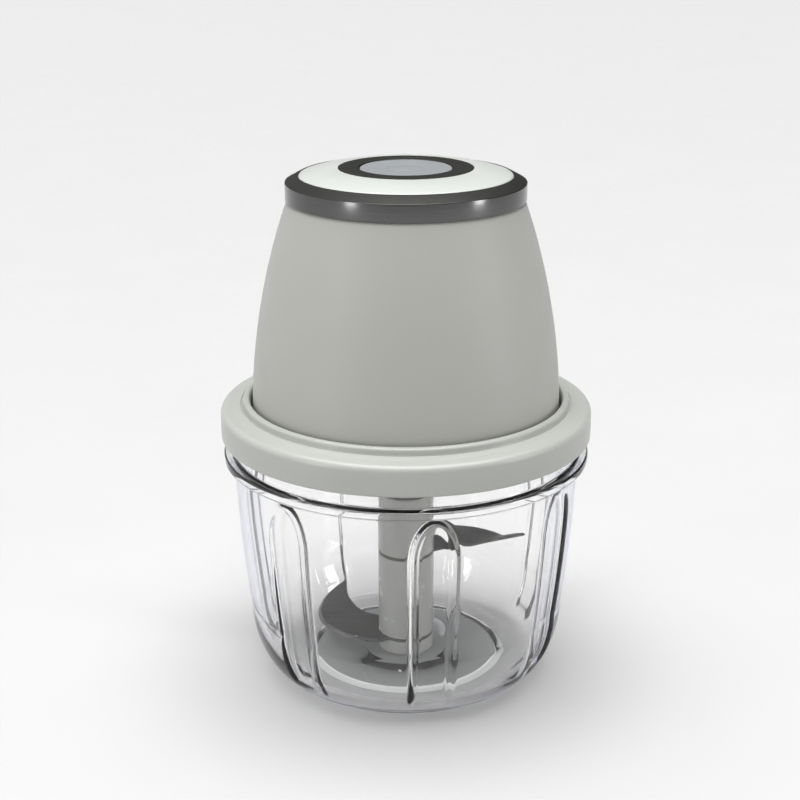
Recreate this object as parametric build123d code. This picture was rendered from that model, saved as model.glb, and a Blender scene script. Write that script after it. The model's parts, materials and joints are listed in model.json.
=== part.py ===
from build123d import *
import math
import os

# A cordless mini food processor: a clear chopping bowl with two blades on a hub, a push-on lid with a
# long shroud, and a bell-shaped motor head with one large button on top.
# Millimetres. The origin is on the table under the middle of the bowl, +Z is up, -Y is the front and
# the charging port is at the back, +Y. Radii are from the vertical centre line.

# ---- bowl ----
FOOT_RADIUS = 30.3              # flat ring under the bowl
FOOT_LIFT = 0.3                 # the foot pad stands this far below the bowl
CORNER_HEIGHT = 19.4            # top of the rounded bottom corner
CORNER_RADIUS = 41.4            # wall radius there
NECK_RADIUS = 44.5              # straight neck under the rim
SHOULDER_HEIGHT = 60.3          # middle of the black-edged flange
RIM_HEIGHT = 69.6
FLANGE_RADIUS = 47.0
FLANGE_THICKNESS = 2.2
BOWL_WALL = 2.2
WALL_BULGE = 0.56               # how far the wall bows out between corner and shoulder
FLOOR_HEIGHT = 3.3
BOSS_RADIUS = 10.9
BOSS_HEIGHT = 3.6
PAD_RADIUS = 24.0
PAD_THICKNESS = 1.6
PIN_RADIUS = 2.5
PIN_ROOT = 2.0
PIN_TOP = 29.0

# ---- arch-topped flutes, pressed in on the outside and standing proud on the inside of the wall ----
FLUTE_COUNT = 7
FLUTE_FIRST_ANGLE = 9.2         # from the front, towards the right
FLUTE_HALF_WIDTH = 5.3
FLUTE_DEPTH = 1.1
FLUTE_FOOT = 6.6
FLUTE_SPRING_LINE = 46.0        # where the straight legs turn into the arch
FLUTE_TOP = 57.0
RIDGE_MARGIN = 1.2              # how much wider than the flute its ridge on the inside is

# ---- blade rotor ----
HUB_RADIUS = 7.4
HUB_BOTTOM = 3.9
HUB_SHOULDER = 46.2
SPIGOT_RADIUS = 5.2
SPIGOT_TOP = 55.0
LOWER_BLADE_Z = 7.7
UPPER_BLADE_Z = 31.2
BLADE_THICKNESS = 0.8
BLADE_TURN = -132.0             # from the lower blade to the upper one
BLADE_TIP = (-17.4, 27.6)       # of the lower blade, before its outer part is bent
BEND_POINT = (-12.7, 11.0)      # where the bend line meets the inner edge
BEND_DIRECTION = 72.0           # the way across the bend line, from +X
LOWER_BEND = 6.3                # how far the outer part of each blade is bent up, in degrees
UPPER_BEND = 25.5
CORE_CORNER_RADIUS = 5.2        # six-sided steel sleeve that carries the blades
CORE_BOTTOM = 4.9
CORE_TOP = 42.0
BUSHING_RADIUS = 3.6
RUNNING_CLEARANCE = 0.05

# ---- lid ----
LID_RADIUS = 47.5
LID_BOTTOM = 65.4
LID_EDGE_TOP = 72.9
LID_INNER_TOP = 73.9
SKIRT_BORE = 44.85
SEAL_BOTTOM = 69.7
SEAL_TOP = 71.2
PLUG_RADIUS = 41.9              # wall that stands inside the bowl's rim
SEAT_RADIUS = 39.9              # recess that the motor head drops into
BEAD_TOP = 75.4
PLATE_BOTTOM = 66.6
PLATE_TOP = 68.9
SHROUD_RADIUS = 7.5
SHROUD_BORE = 5.8
SHROUD_BOTTOM = 46.7
SHROUD_FLARE = 12.0

# ---- motor head ----
HEAD_BOTTOM = 69.1
HEAD_FOOT_RADIUS = 39.3
BELL_FOOT = (39.3, 73.4)        # radius and height of three points on the bell
BELL_MIDDLE = (36.5, 99.5)
BELL_TOP = (29.4, 125.7)
HOUSING_WALL = 2.0
BASE_TOP = 72.1
BASE_RADIUS = 37.3
BASE_SCREW_CIRCLE = 34.4
BASE_SCREW_ANGLES = (45, 135, 225, 315)
BASE_SCREW_RADIUS = 1.5
BASE_SCREW_TOP = 80.0
SCREW_HEAD_RADIUS = 2.8
COUNTERBORE_RADIUS = 3.0
COUNTERBORE_DEPTH = 2.0
POST_RADIUS = 3.2
POST_TOP = 86.0
SLEEVE_RADIUS = 7.6             # stands on the base plate around the drive shaft's bushing
SLEEVE_BORE = 5.6
SLEEVE_TOP = 76.0
TRIM_RADIUS = 29.8
TRIM_SIDE_TOP = 130.1
TRIM_TOP = 131.8
TRIM_BORE = 26.4
TRIM_SPIGOT_RADIUS = 27.2
TRIM_SPIGOT_BOTTOM = 121.8
CAP_CROWN = 133.4
CAP_SKIRT_BOTTOM = 126.0
CAP_WALL = 2.0
CAP_LEDGE = 1.6                 # seat for the bezel's rim
CAP_DOME = (22.0, 132.8)
BEZEL_RADIUS = 16.7
BEZEL_CUP_RADIUS = 14.6
BEZEL_CUP_BORE = 13.0
BEZEL_CUP_FLOOR = 123.5
BEZEL_TOP = 133.5
CUP_FLOOR_THICKNESS = 1.4

# ---- power button ----
BUTTON_RADIUS = 11.4
BUTTON_GAP = 0.25
BUTTON_TOP = 133.4
BUTTON_LIP_RADIUS = 12.7
BUTTON_LIP_THICKNESS = 1.2
BUTTON_SKIRT = 3.0              # depth of the button's side below its top wall
BUTTON_WALL = 1.6
BUTTON_ROOF = 1.8
STEM_RADIUS = 2.4
STEM_BOTTOM = 122.9
SPRING_RADIUS = 5.0
SPRING_WIRE = 0.35
SPRING_TURNS = 4
PLUNGER_RADIUS = 1.6
PLUNGER_REACH = 0.4             # how far it stands inside the switch at rest

# ---- motor and drive ----
MOTOR_RADIUS = 12.2
MOTOR_WALL = 1.2
MOTOR_BOTTOM = 82.0
MOTOR_TOP = 110.0
MOTOR_SHAFT_RADIUS = 1.15
ARMATURE_RADIUS = 9.2
MOUNT_RADIUS = 13.2
MOUNT_THICKNESS = 2.0
MOTOR_SCREW_CIRCLE = 8.0
MOTOR_SCREW_RADIUS = 1.3
MOTOR_SCREW_HEAD = 2.2
LEG_RADIUS = 2.2
LEG_CIRCLE = 10.6
LEG_ANGLES = (90, 210, 330)
CLAMP_HEIGHT = 6.0              # of the mount's collar, and of the can below and above the magnets
BEARING_RADIUS = 3.0
END_CAP_THICKNESS = 2.2
END_CAP_BOSS_RADIUS = 3.4
ARMATURE_INSET = 7.0            # from either end of the can
POLE_ANGLES = (30, 150, 270)
SLOT_RADIUS = 1.8
MAGNET_WIDTH = 14.0
MAGNET_OFFSET = 10.0
COMMUTATOR_RADIUS = 3.6
DRIVE_RADIUS = 4.0
DRIVE_TOP = 79.0
DRIVE_STEP = 66.0               # the shaft is thinner below this height
DRIVE_STEP_DEPTH = 0.7
SHAFT_OVERLAP = 10.0            # of the motor's shaft inside the drive shaft
SEAL_THICKNESS = 1.5
DOG_CORNER_RADIUS = 3.2
DOG_BOTTOM = 49.2
DOG_TOP = 57.0
SOCKET_CORNER_RADIUS = 3.55
SOCKET_FLOOR = 48.0

# ---- battery and electronics ----
CELL_RADIUS = 8.2
CELL_LENGTH = 34.5
CELL_BOTTOM = 73.3
CELL_OFFSET = 23.4
CRADLE_WALL = 1.0
CRADLE_TOP = 90.0
CRADLE_RING_WALL = 2.0
CRADLE_WINDOW = (8.0, 40.0, 78.0, 84.0)       # width, depth, bottom and top
CELL_CAP_RADIUS = 2.8
BOARD_RADIUS = 24.0
BOARD_BOTTOM = 116.0
BOARD_THICKNESS = 1.6
BOARD_SCREW_CIRCLE = 20.4
BOARD_SCREW_ANGLES = (90, 210, 330)
BOARD_SCREW_RADIUS = 1.0
BOARD_SCREW_HEAD = 1.9
BOARD_POST_RADIUS = 2.6
CHARGE_BOARD = (14.0, 1.2, 76.0, 94.0)      # width, thickness, bottom and top
CHARGE_BOARD_REACH = 29.4
SWITCH_SIDE = 6.2
SWITCH_HEIGHT = 3.6

# ---- charging port at the back ----
PORT_HEIGHT = 84.0
PORT_HOLE_WIDTH = 10.4
PORT_HOLE_HEIGHT = 4.4
FLAP_WIDTH = 15.0
FLAP_HEIGHT = 8.6
FLAP_THICKNESS = 1.0
FLAP_GAP = 0.3
FLAP_PIN_REACH = 38.45          # hinge pin along the flap's lower edge, behind the centre line
FLAP_PIN_HEIGHT = 80.05
FLAP_PIN_RADIUS = 0.55
FLAP_PIN_LENGTH = 10.0
FLAP_GROOVE_RADIUS = 1.05
PLUG_MARGIN = 1.1               # between the flap's plug and the port hole
PLUG_START = 37.3
SOCKET_SHELL_WIDTH = 9.0
SOCKET_SHELL_HEIGHT = 3.3
SOCKET_WALL = 0.35
SOCKET_FRONT = 37.0
SOCKET_TONGUE = (6.6, 0.7)

BEHIND_MOTOR = 30.0             # start of the free space behind the motor
OUTER_LIMIT = 60.0              # a radius well outside every piece


# ---- shared shapes ----
def outline(*lines):
    """A face from lines that join end to end, drawn as (radius, height)."""
    edges = []
    for line in lines:
        edges += line.edges()
    return make_face(edges)


def turned(*lines):
    """A solid turned about the centre line from an outline of (radius, height)."""
    return revolve(Plane.XZ * outline(*lines), Axis.Z)


def turned_points(*points):
    return turned(Polyline(*points, close=True))


def rod(radius, low, high, x=0.0, y=0.0):
    return Pos(x, y, (low + high) / 2) * Cylinder(radius, high - low)


def ring(bore, radius, low, high, x=0.0, y=0.0):
    return rod(radius, low, high, x, y) - rod(bore, low, high, x, y)


def block(width, depth, low, high, x=0.0, y=0.0):
    return Pos(x, y, (low + high) / 2) * Box(width, depth, high - low)


def hexagon(corner_radius, low, high):
    """A six-sided bar on the centre line."""
    return Pos(0, 0, low) * extrude(RegularPolygon(corner_radius, 6), high - low)


def around(radius, angles):
    """Points on a circle about the centre line."""
    return [(radius * math.cos(math.radians(a)), radius * math.sin(math.radians(a))) for a in angles]


def joined(pieces):
    """Pieces added into one shape."""
    total = Part()
    for piece in pieces:
        total += piece
    return total


def apart(pieces):
    """Separate solids kept as one group."""
    solids = []
    for piece in pieces:
        solids += piece.solids()
    return Compound(children=solids)


# ---- bowl ----
def bowl_wall(inset):
    """The bowl's side from its flat foot to the shoulder, moved in by inset, as lines going up."""
    corner = EllipticalCenterArc(
        (FOOT_RADIUS - inset, CORNER_HEIGHT),
        CORNER_RADIUS - FOOT_RADIUS,
        CORNER_HEIGHT - FOOT_LIFT - inset,
        start_angle=270,
        arc_size=90,
    )
    low = (CORNER_RADIUS - inset, CORNER_HEIGHT)
    high = (NECK_RADIUS - inset, SHOULDER_HEIGHT)
    middle = ((low[0] + high[0]) / 2 + WALL_BULGE, (low[1] + high[1]) / 2)
    return corner, ThreePointArc(low, middle, high)


def bowl_body(inset):
    """A solid plug as large as the bowl moved in by inset, up to the shoulder."""
    foot = FOOT_LIFT + inset
    return turned(
        Line((0, foot), (FOOT_RADIUS - inset, foot)),
        *bowl_wall(inset),
        Line((NECK_RADIUS - inset, SHOULDER_HEIGHT), (0, SHOULDER_HEIGHT)),
        Line((0, SHOULDER_HEIGHT), (0, foot)),
    )


def flutes(margin, inset):
    """Arch-topped blocks around the bowl, each wider than a flute by margin, as deep as inset."""
    half_width = FLUTE_HALF_WIDTH + margin
    arch = outline(
        Line((-half_width, FLUTE_SPRING_LINE), (-half_width, FLUTE_FOOT)),
        Line((-half_width, FLUTE_FOOT), (half_width, FLUTE_FOOT)),
        Line((half_width, FLUTE_FOOT), (half_width, FLUTE_SPRING_LINE)),
        EllipticalCenterArc(
            (0, FLUTE_SPRING_LINE),
            half_width,
            FLUTE_TOP + margin - FLUTE_SPRING_LINE,
            start_angle=0,
            arc_size=180,
        ),
    )
    flute = extrude(Plane.XZ * arch, OUTER_LIMIT) - bowl_body(inset)
    return joined(Rot(0, 0, FLUTE_FIRST_ANGLE + n * 360 / FLUTE_COUNT) * flute for n in range(FLUTE_COUNT))


def bowl():
    flange_low = SHOULDER_HEIGHT - FLANGE_THICKNESS / 2
    flange_high = SHOULDER_HEIGHT + FLANGE_THICKNESS / 2
    outside = bowl_body(0) + rod(NECK_RADIUS, SHOULDER_HEIGHT, RIM_HEIGHT)
    outside += turned_points(
        (CORNER_RADIUS, flange_low - 1),
        (NECK_RADIUS, flange_low - 0.5),
        (FLANGE_RADIUS - 0.6, flange_low),
        (FLANGE_RADIUS, flange_low + 0.6),
        (FLANGE_RADIUS, flange_high - 0.6),
        (FLANGE_RADIUS - 0.6, flange_high),
        (NECK_RADIUS, flange_high + 0.3),
        (CORNER_RADIUS, flange_high + 0.3),
    )
    outside -= flutes(0, FLUTE_DEPTH)
    inside = bowl_body(BOWL_WALL) & rod(OUTER_LIMIT, FLOOR_HEIGHT, SHOULDER_HEIGHT)
    inside -= flutes(RIDGE_MARGIN, BOWL_WALL + FLUTE_DEPTH)
    inside += rod(NECK_RADIUS - BOWL_WALL, SHOULDER_HEIGHT, RIM_HEIGHT)
    shell = outside - inside + rod(BOSS_RADIUS, FLOOR_HEIGHT, BOSS_HEIGHT)
    return shell - rod(PAD_RADIUS, 0, PAD_THICKNESS) - rod(PIN_RADIUS, PIN_ROOT, BOSS_HEIGHT)


def foot_pad():
    return turned_points(
        (0, 0),
        (PAD_RADIUS - 0.5, 0),
        (PAD_RADIUS, 0.4),
        (PAD_RADIUS, PAD_THICKNESS),
        (0, PAD_THICKNESS),
    )


def bowl_pin():
    return turned_points(
        (0, PIN_ROOT),
        (PIN_RADIUS, PIN_ROOT),
        (PIN_RADIUS, PIN_TOP - 1.5),
        (PIN_RADIUS - 1.2, PIN_TOP),
        (0, PIN_TOP),
    )


# ---- blade rotor ----
def hub_foot():
    body = ring(BUSHING_RADIUS, HUB_RADIUS, HUB_BOTTOM, LOWER_BLADE_Z)
    return body - hexagon(CORE_CORNER_RADIUS, CORE_BOTTOM, LOWER_BLADE_Z)


def hub_spacer():
    low = LOWER_BLADE_Z + BLADE_THICKNESS
    return rod(HUB_RADIUS, low, UPPER_BLADE_Z) - hexagon(CORE_CORNER_RADIUS, low, UPPER_BLADE_Z)


def hub_top():
    low = UPPER_BLADE_Z + BLADE_THICKNESS
    body = rod(HUB_RADIUS, low, HUB_SHOULDER) + rod(SPIGOT_RADIUS, HUB_SHOULDER, SPIGOT_TOP)
    body -= hexagon(CORE_CORNER_RADIUS, low, CORE_TOP)
    return body - hexagon(SOCKET_CORNER_RADIUS, SOCKET_FLOOR, SPIGOT_TOP)


def hub_core():
    return hexagon(CORE_CORNER_RADIUS, CORE_BOTTOM, CORE_TOP) - rod(BUSHING_RADIUS, CORE_BOTTOM, CORE_TOP)


def hub_bushing():
    return ring(PIN_RADIUS + RUNNING_CLEARANCE, BUSHING_RADIUS, CORE_BOTTOM, PIN_TOP - 2)


def blade(bend):
    """A sickle blade lying at height 0, pointing left and curving to the back, its outer part bent up."""
    root_front = (-4.0, -6.2)
    root_back = (-4.0, 6.2)
    outer_edge = Spline(
        root_front, (-8.5, -7.6), (-16.3, -4.4), (-22.6, 2.5), (-24.6, 11.0), (-22.8, 19.6), BLADE_TIP
    )
    inner_edge = Spline(BLADE_TIP, (-16.4, 18.4), BEND_POINT, (-8.5, 7.9), root_back)
    sickle = extrude(outline(outer_edge, inner_edge, Line(root_back, root_front)), BLADE_THICKNESS)
    bend_line = Pos(*BEND_POINT, 0) * Rot(0, 0, BEND_DIRECTION)
    beyond = bend_line * Pos(OUTER_LIMIT / 2, 0, 0) * Box(OUTER_LIMIT, 2 * OUTER_LIMIT, OUTER_LIMIT)
    fold = bend_line * Rot(0, -bend, 0) * bend_line.inverse()
    return (sickle - beyond) + fold * (sickle & beyond) + rod(HUB_RADIUS, 0, BLADE_THICKNESS)


def lower_blade():
    top = LOWER_BLADE_Z + BLADE_THICKNESS
    return Pos(0, 0, LOWER_BLADE_Z) * blade(LOWER_BEND) - hexagon(CORE_CORNER_RADIUS, LOWER_BLADE_Z, top)


def upper_blade():
    top = UPPER_BLADE_Z + BLADE_THICKNESS
    turned_blade = Pos(0, 0, UPPER_BLADE_Z) * Rot(0, 0, BLADE_TURN) * blade(UPPER_BEND)
    return turned_blade - hexagon(CORE_CORNER_RADIUS, UPPER_BLADE_Z, top)


# ---- lid ----
def lid_collar():
    bead_middle = (SEAT_RADIUS + PLUG_RADIUS) / 2
    return turned(
        Polyline(
            (SKIRT_BORE, LID_BOTTOM),
            (LID_RADIUS - 0.5, LID_BOTTOM),
            (LID_RADIUS, LID_BOTTOM + 0.5),
            (LID_RADIUS, LID_EDGE_TOP - 2),
        ),
        ThreePointArc(
            (LID_RADIUS, LID_EDGE_TOP - 2),
            (LID_RADIUS - 0.6, LID_EDGE_TOP - 0.6),
            (LID_RADIUS - 2, LID_EDGE_TOP),
        ),
        Polyline(
            (LID_RADIUS - 2, LID_EDGE_TOP),
            (PLUG_RADIUS + 0.5, LID_INNER_TOP),
            (PLUG_RADIUS + 0.1, LID_INNER_TOP - 0.7),
            (PLUG_RADIUS - 0.1, LID_INNER_TOP + 0.4),
        ),
        ThreePointArc(
            (PLUG_RADIUS - 0.1, LID_INNER_TOP + 0.4),
            (bead_middle, BEAD_TOP),
            (SEAT_RADIUS, LID_INNER_TOP + 0.4),
        ),
        Polyline(
            (SEAT_RADIUS, LID_INNER_TOP + 0.4),
            (SEAT_RADIUS, PLATE_BOTTOM),
            (PLUG_RADIUS - 0.5, PLATE_BOTTOM),
            (PLUG_RADIUS, PLATE_BOTTOM + 0.8),
            (PLUG_RADIUS, SEAL_TOP),
            (SKIRT_BORE, SEAL_TOP),
            (SKIRT_BORE, LID_BOTTOM),
        ),
    )


def lid_plate():
    return turned_points(
        (SHROUD_BORE, SHROUD_BOTTOM),
        (SHROUD_RADIUS, SHROUD_BOTTOM),
        (SHROUD_RADIUS, PLATE_BOTTOM - 7),
        (SHROUD_FLARE, PLATE_BOTTOM),
        (SEAT_RADIUS, PLATE_BOTTOM),
        (SEAT_RADIUS, PLATE_TOP),
        (SHROUD_BORE, PLATE_TOP),
    )


def lid_seal():
    return turned_points(
        (PLUG_RADIUS, SEAL_BOTTOM + 0.3),
        (PLUG_RADIUS + 0.6, SEAL_BOTTOM),
        (SKIRT_BORE - 0.4, SEAL_BOTTOM),
        (SKIRT_BORE, SEAL_BOTTOM + 0.3),
        (SKIRT_BORE, SEAL_TOP),
        (PLUG_RADIUS, SEAL_TOP),
    )


# ---- motor head: shells ----
def bell(inset):
    """A solid as large as the housing moved in by inset."""
    foot = (BELL_FOOT[0] - inset, BELL_FOOT[1])
    middle = (BELL_MIDDLE[0] - inset, BELL_MIDDLE[1])
    top = (BELL_TOP[0] - inset, BELL_TOP[1])
    return turned(
        Polyline((0, HEAD_BOTTOM), (HEAD_FOOT_RADIUS - inset, HEAD_BOTTOM), foot),
        ThreePointArc(foot, middle, top),
        Polyline(top, (0, BELL_TOP[1]), (0, HEAD_BOTTOM)),
    )


def flap_axle(radius, length):
    """A round bar on the flap's hinge axis, from left to right."""
    return Pos(0, FLAP_PIN_REACH, FLAP_PIN_HEIGHT) * Rot(0, 90, 0) * Cylinder(radius, length)


def port_block(width, height, inner, outer):
    """A block on the port's line at the back, from one distance behind the centre line to another."""
    low = PORT_HEIGHT - height / 2
    return block(width, outer - inner, low, low + height, 0, (inner + outer) / 2)


def base_screw_places():
    return around(BASE_SCREW_CIRCLE, BASE_SCREW_ANGLES)


def motor_housing():
    places = base_screw_places()
    posts = joined(ring(BASE_SCREW_RADIUS, POST_RADIUS, BASE_TOP, POST_TOP, x, y) for x, y in places)
    shell = bell(0) - bell(HOUSING_WALL)
    shell += posts & bell(HOUSING_WALL / 2)
    pocket_width = FLAP_WIDTH + 2 * FLAP_GAP
    pocket = port_block(pocket_width, FLAP_HEIGHT + 2 * FLAP_GAP, BEHIND_MOTOR, OUTER_LIMIT)
    pocket -= bell(FLAP_THICKNESS + FLAP_GAP)
    pocket += flap_axle(FLAP_GROOVE_RADIUS, pocket_width)
    return shell - pocket - port_block(PORT_HOLE_WIDTH, PORT_HOLE_HEIGHT, BEHIND_MOTOR, OUTER_LIMIT)


def head_base():
    plate = rod(BASE_RADIUS, HEAD_BOTTOM, BASE_TOP) + rod(SLEEVE_RADIUS, BASE_TOP, SLEEVE_TOP)
    plate -= rod(SLEEVE_BORE, HEAD_BOTTOM, SLEEVE_TOP)
    for x, y in base_screw_places():
        plate -= rod(COUNTERBORE_RADIUS, HEAD_BOTTOM, HEAD_BOTTOM + COUNTERBORE_DEPTH, x, y)
        plate -= rod(BASE_SCREW_RADIUS, HEAD_BOTTOM, BASE_TOP, x, y)
    return plate


def base_screws():
    seat = HEAD_BOTTOM + COUNTERBORE_DEPTH
    screws = []
    for x, y in base_screw_places():
        head = rod(SCREW_HEAD_RADIUS, HEAD_BOTTOM + 0.3, seat, x, y)
        screws.append(head + rod(BASE_SCREW_RADIUS, seat, BASE_SCREW_TOP, x, y))
    return apart(screws)


def trim_ring():
    return turned_points(
        (TRIM_BORE, TRIM_SPIGOT_BOTTOM),
        (TRIM_SPIGOT_RADIUS, TRIM_SPIGOT_BOTTOM),
        (TRIM_SPIGOT_RADIUS, BELL_TOP[1]),
        (TRIM_RADIUS, BELL_TOP[1]),
        (TRIM_RADIUS, TRIM_SIDE_TOP),
        (TRIM_BORE + 0.3, TRIM_TOP),
        (TRIM_BORE, TRIM_TOP),
    )


def board_screw_places():
    return around(BOARD_SCREW_CIRCLE, BOARD_SCREW_ANGLES)


def top_cap():
    under = CAP_CROWN - 2 * CAP_WALL
    cap = turned(
        Polyline(
            (BEZEL_CUP_RADIUS, under),
            (BEZEL_CUP_RADIUS, under + CAP_LEDGE),
            (BEZEL_RADIUS, under + CAP_LEDGE),
            (BEZEL_RADIUS, CAP_CROWN),
        ),
        ThreePointArc((BEZEL_RADIUS, CAP_CROWN), CAP_DOME, (TRIM_BORE, TRIM_TOP)),
        Polyline(
            (TRIM_BORE, TRIM_TOP),
            (TRIM_BORE, CAP_SKIRT_BOTTOM),
            (TRIM_BORE - CAP_WALL, CAP_SKIRT_BOTTOM),
            (TRIM_BORE - CAP_WALL, under),
            (BEZEL_CUP_RADIUS, under),
        ),
    )
    board_top = BOARD_BOTTOM + BOARD_THICKNESS
    places = board_screw_places()
    return cap + joined(
        ring(BOARD_SCREW_RADIUS, BOARD_POST_RADIUS, board_top, under + 0.5, x, y) for x, y in places
    )


def button_bezel():
    ledge = CAP_CROWN - 2 * CAP_WALL + CAP_LEDGE
    cup_floor = BEZEL_CUP_FLOOR + CUP_FLOOR_THICKNESS
    lip_room = BEZEL_TOP - 1.6
    return turned_points(
        (STEM_RADIUS + 0.4, BEZEL_CUP_FLOOR),
        (BEZEL_CUP_RADIUS, BEZEL_CUP_FLOOR),
        (BEZEL_CUP_RADIUS, ledge),
        (BEZEL_RADIUS, ledge),
        (BEZEL_RADIUS, BEZEL_TOP - 0.2),
        (BEZEL_RADIUS - 0.4, BEZEL_TOP),
        (BUTTON_RADIUS + BUTTON_GAP + 0.3, BEZEL_TOP),
        (BUTTON_RADIUS + BUTTON_GAP, BEZEL_TOP - 0.3),
        (BUTTON_RADIUS + BUTTON_GAP, lip_room),
        (BEZEL_CUP_BORE, lip_room),
        (BEZEL_CUP_BORE, cup_floor),
        (STEM_RADIUS + 0.4, cup_floor),
    )


# ---- power button ----
def power_button():
    crown = BUTTON_TOP - BUTTON_ROOF
    return turned_points(
        (0, STEM_BOTTOM),
        (STEM_RADIUS, STEM_BOTTOM),
        (STEM_RADIUS, crown),
        (BUTTON_RADIUS - BUTTON_WALL, crown),
        (BUTTON_RADIUS - BUTTON_WALL, crown - BUTTON_SKIRT),
        (BUTTON_RADIUS, crown - BUTTON_SKIRT),
        (BUTTON_RADIUS, crown - BUTTON_LIP_THICKNESS),
        (BUTTON_LIP_RADIUS, crown - BUTTON_LIP_THICKNESS),
        (BUTTON_LIP_RADIUS, crown),
        (BUTTON_RADIUS, crown),
        (BUTTON_RADIUS, BUTTON_TOP - 0.4),
        (BUTTON_RADIUS - 0.5, BUTTON_TOP),
        (0, BUTTON_TOP),
    )


def button_spring():
    seat_gap = SPRING_WIRE + 0.02
    low = BEZEL_CUP_FLOOR + CUP_FLOOR_THICKNESS + seat_gap
    height = BUTTON_TOP - BUTTON_ROOF - seat_gap - low
    coil = Helix(height / SPRING_TURNS, height, SPRING_RADIUS, center=(0, 0, low))
    wire = Plane(origin=coil @ 0, z_dir=coil % 0) * Circle(SPRING_WIRE)
    return sweep(wire, path=coil, is_frenet=True)


def switch_plunger():
    switch_top = BOARD_BOTTOM + BOARD_THICKNESS + SWITCH_HEIGHT
    return rod(PLUNGER_RADIUS, switch_top - PLUNGER_REACH, STEM_BOTTOM)


# ---- electronics ----
def control_board():
    board = rod(BOARD_RADIUS, BOARD_BOTTOM, BOARD_BOTTOM + BOARD_THICKNESS)
    for x, y in board_screw_places():
        board -= rod(BOARD_SCREW_RADIUS, BOARD_BOTTOM, BOARD_BOTTOM + BOARD_THICKNESS, x, y)
    return board


def board_screws():
    screws = []
    for x, y in board_screw_places():
        head = rod(BOARD_SCREW_HEAD, BOARD_BOTTOM - 1.3, BOARD_BOTTOM, x, y)
        screws.append(head + rod(BOARD_SCREW_RADIUS, BOARD_BOTTOM, BOARD_BOTTOM + 7, x, y))
    return apart(screws)


def board_components():
    top = BOARD_BOTTOM + BOARD_THICKNESS
    return apart(
        [
            block(7, 7, top, top + 3.2, -12, 0),
            block(5, 4, top, top + 1.5, 12, -4),
            block(8, 5, top, top + 1.7, 2, -14),
            rod(2.5, top, top + 5.0, 10, 8),
            rod(2.5, top, top + 5.0, -9, 10),
        ]
    )


def tact_switch():
    low = BOARD_BOTTOM + BOARD_THICKNESS
    body = block(SWITCH_SIDE, SWITCH_SIDE, low, low + SWITCH_HEIGHT)
    return body - rod(1.9, low + 1.4, low + SWITCH_HEIGHT)


def battery_cell(side):
    positive = CELL_BOTTOM + CELL_LENGTH
    x = side * CELL_OFFSET
    return rod(CELL_RADIUS, CELL_BOTTOM, positive - 1, x) + rod(CELL_CAP_RADIUS, positive - 1, positive, x)


def battery_cradle():
    """Two cups on a common floor that hold the cells beside the motor."""
    parts = []
    for side in (-1, 1):
        x = side * CELL_OFFSET
        cup = ring(CELL_RADIUS, CELL_RADIUS + CRADLE_WALL, BASE_TOP, CRADLE_TOP, x)
        parts.append(cup - block(*CRADLE_WINDOW, x) + rod(CELL_RADIUS, BASE_TOP, CELL_BOTTOM, x))
    mount_hole = MOUNT_RADIUS + 0.4
    bridge = block(2 * CELL_OFFSET, 6, BASE_TOP, CELL_BOTTOM) - rod(mount_hole, BASE_TOP, CELL_BOTTOM)
    half_ring = ring(mount_hole, mount_hole + CRADLE_RING_WALL, BASE_TOP, CELL_BOTTOM)
    half_ring &= block(OUTER_LIMIT, OUTER_LIMIT, BASE_TOP, CELL_BOTTOM, 0, OUTER_LIMIT / 2 + 2)
    return joined(parts + [bridge, half_ring])


def charge_board():
    return block(*CHARGE_BOARD, 0, CHARGE_BOARD_REACH)


def charge_socket():
    mouth = (SOCKET_SHELL_WIDTH - 2 * SOCKET_WALL, SOCKET_SHELL_HEIGHT - 2 * SOCKET_WALL)
    shell = port_block(SOCKET_SHELL_WIDTH, SOCKET_SHELL_HEIGHT, BEHIND_MOTOR, SOCKET_FRONT)
    shell -= port_block(*mouth, BEHIND_MOTOR + 1, SOCKET_FRONT)
    return shell + port_block(*SOCKET_TONGUE, BEHIND_MOTOR + 0.5, SOCKET_FRONT - 1.6)


def port_flap():
    """Rubber cover in the housing's pocket, swinging about the pin moulded along its lower edge."""
    plate = (bell(0) - bell(FLAP_THICKNESS)) & port_block(FLAP_WIDTH, FLAP_HEIGHT, BEHIND_MOTOR, OUTER_LIMIT)
    plug_size = (PORT_HOLE_WIDTH - 2 * PLUG_MARGIN, PORT_HOLE_HEIGHT - 2 * PLUG_MARGIN)
    plug = port_block(*plug_size, PLUG_START, OUTER_LIMIT) & bell(FLAP_THICKNESS)
    return plate + plug + flap_axle(FLAP_PIN_RADIUS, FLAP_PIN_LENGTH)


# ---- motor and drive ----
def motor_mount():
    low = MOTOR_BOTTOM - MOUNT_THICKNESS
    legs = joined(rod(LEG_RADIUS, BASE_TOP, low, x, y) for x, y in around(LEG_CIRCLE, LEG_ANGLES))
    collar = ring(MOTOR_RADIUS, MOUNT_RADIUS, MOTOR_BOTTOM, MOTOR_BOTTOM + CLAMP_HEIGHT)
    mount = ring(DRIVE_RADIUS + 0.6, MOUNT_RADIUS, low, MOTOR_BOTTOM) + collar + legs
    for x, y in around(MOTOR_SCREW_CIRCLE, (0, 180)):
        mount -= rod(MOTOR_SCREW_RADIUS, low, MOTOR_BOTTOM, x, y)
    return mount


def motor_screws():
    low = MOTOR_BOTTOM - MOUNT_THICKNESS
    tip = MOTOR_BOTTOM + MOTOR_WALL
    return apart(
        rod(MOTOR_SCREW_HEAD, low - 1.6, low, x, y) + rod(MOTOR_SCREW_RADIUS, low, tip, x, y)
        for x, y in around(MOTOR_SCREW_CIRCLE, (0, 180))
    )


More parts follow.
